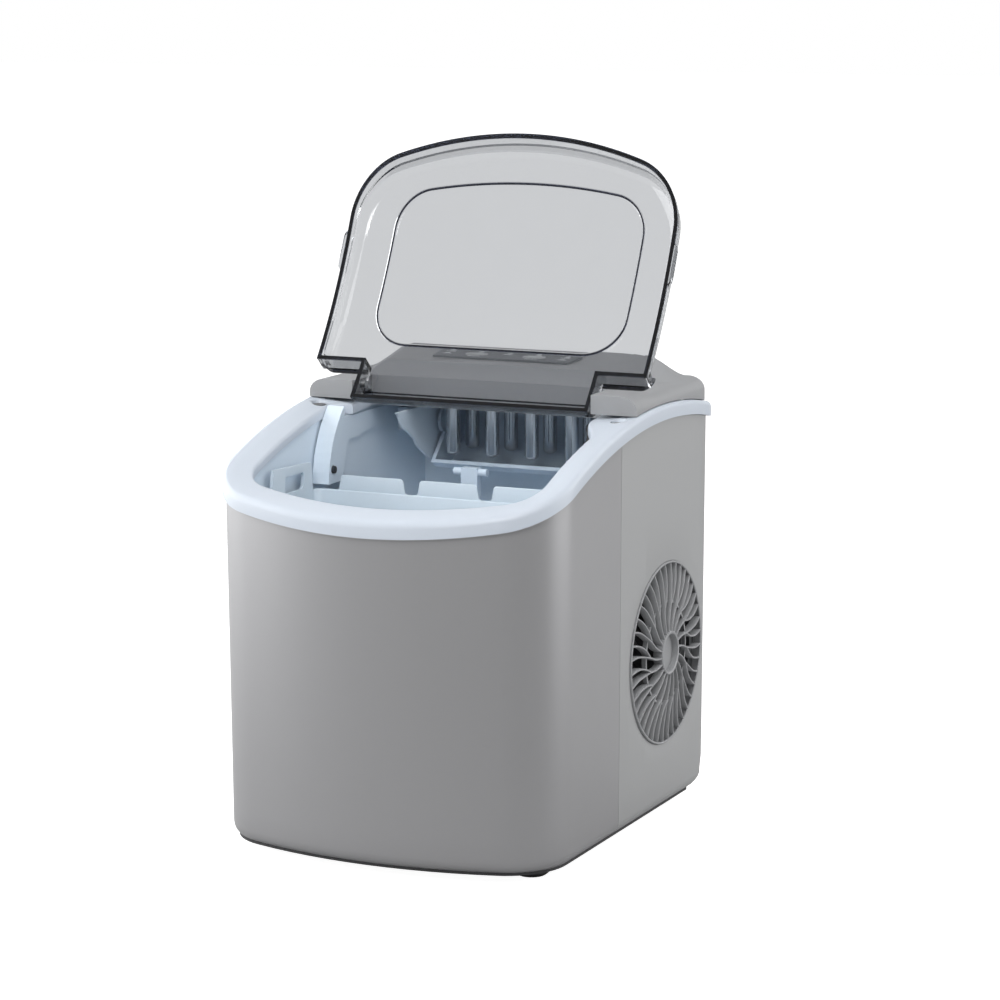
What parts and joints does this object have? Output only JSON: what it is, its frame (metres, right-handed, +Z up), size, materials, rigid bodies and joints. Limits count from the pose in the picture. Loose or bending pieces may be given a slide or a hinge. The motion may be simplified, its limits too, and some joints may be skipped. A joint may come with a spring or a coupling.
{
  "type": "portable ice maker",
  "caption": "Countertop bullet ice maker, lid open: silver body, white arched rim, smoky hinged lid, removable ice basket, tilting water tray and side fan grille.",
  "frame": {"origin": "on the floor under the middle of the bounding box", "axes": "+Z up, -Y towards the front where the basket is, +X towards the side with the fan grille"},
  "size_m": [0.2432, 0.288, 0.4477],
  "materials": {
    "silver_steel": "satin silver finish, brushed",
    "grey_plastic": "fine matte grey",
    "white_plastic": "smooth bluish white",
    "smoky_clear": "clear grey tinted plastic",
    "liner_blue": "pale blue grey",
    "basket_blue": "pale blue, slightly glossy",
    "tray_blue": "blue grey",
    "overlay_grey": "printed panel film",
    "key_grey": "moulded keys",
    "lens_clear": "indicator lenses",
    "nickel": "nickel plate",
    "steel": "bright steel",
    "copper": "copper pipe",
    "black_paint": "black enamel",
    "black_plastic": "black moulding",
    "rubber": "dull rubber",
    "board_green": "circuit board",
    "fins": "finned coil"
  },
  "bodies": {
    "housing": {"base_pan": "black_plastic", "foot_front_left": "rubber", "foot_rear_left": "rubber", "foot_front_right": "rubber", "foot_rear_right": "rubber", "front_shell": "silver_steel", "rear_shell": "silver_steel", "fan_grille": "grey_plastic", "top_rim": "white_plastic", "rim_screw_left": "steel", "rim_screw_right": "steel", "rear_cover": "grey_plastic", "hinge_pin_left": "steel", "hinge_pin_right": "steel", "control_panel": "overlay_grey", "indicator_lens_1": "lens_clear", "indicator_lens_2": "lens_clear", "indicator_lens_3": "lens_clear", "indicator_lens_4": "lens_clear", "indicator_lens_5": "lens_clear", "inner_liner": "liner_blue", "sensor_cover": "liner_blue", "ice_full_sensor": "black_plastic", "evaporator_tube": "nickel", "freezing_finger_1": "nickel", "freezing_finger_2": "nickel", "freezing_finger_3": "nickel", "freezing_finger_4": "nickel", "freezing_finger_5": "nickel", "freezing_finger_6": "nickel", "freezing_finger_7": "nickel", "freezing_finger_8": "nickel", "tray_gearmotor": "liner_blue", "tray_bearing": "liner_blue", "water_pump": "black_plastic", "pump_hose": "rubber", "compressor": "black_paint", "compressor_mount_1": "rubber", "compressor_mount_2": "rubber", "condenser": "fins", "fan_shroud": "steel", "fan_motor": "black_plastic", "filter_drier": "copper", "discharge_pipe": "copper", "suction_pipe": "copper", "control_board": "board_green", "cord_inlet": "black_plastic"},
    "lid": {"lid": "smoky_clear"},
    "power_button": {"power_button": "key_grey"},
    "size_button": {"size_button": "key_grey"},
    "fan_rotor": {"fan_rotor": "black_plastic"},
    "water_tray": {"water_tray": "tray_blue"},
    "ice_pusher": {"ice_pusher": "tray_blue"},
    "ice_basket": {"ice_basket": "basket_blue"},
    "drain_plug": {"drain_plug": "rubber"}
  },
  "joints": [
    {"name": "lid_hinge", "type": "hinge", "parent": "housing", "child": "lid", "pos_m": [0, 0.0249, 0.2838], "axis": [1, 0, 0], "range_deg": [0, 133]},
    {"name": "power_press", "type": "slide", "parent": "housing", "child": "power_button", "axis": [0, 0.0673, -0.9977], "range_m": [0, 0.001], "stiffness_N_per_m": 200},
    {"name": "size_press", "type": "slide", "parent": "housing", "child": "size_button", "axis": [0, 0.0673, -0.9977], "range_m": [0, 0.001], "stiffness_N_per_m": 200},
    {"name": "fan_spin", "type": "hinge", "parent": "housing", "child": "fan_rotor", "pos_m": [0.098, 0.0687, 0.111], "axis": [1, 0, 0], "continuous": true},
    {"name": "tray_tilt", "type": "hinge", "parent": "housing", "child": "water_tray", "pos_m": [0, 0.095, 0.252], "axis": [1, 0, 0], "range_deg": [-45, 0]},
    {"name": "pusher_slide", "type": "slide", "parent": "housing", "child": "ice_pusher", "axis": [0, -1, 0], "range_m": [0, 0.026]},
    {"name": "basket_lift", "type": "slide", "parent": "housing", "child": "ice_basket", "axis": [0, 0, 1], "range_m": [0, 0.024]},
    {"name": "drain_pull", "type": "slide", "parent": "housing", "child": "drain_plug", "axis": [-1, 0, 0], "range_m": [0, 0.02]}
  ],
  "couplings": [
    {"joint": "pusher_slide", "follows": "tray_tilt", "m_per_rad": -0.0318}
  ]
}
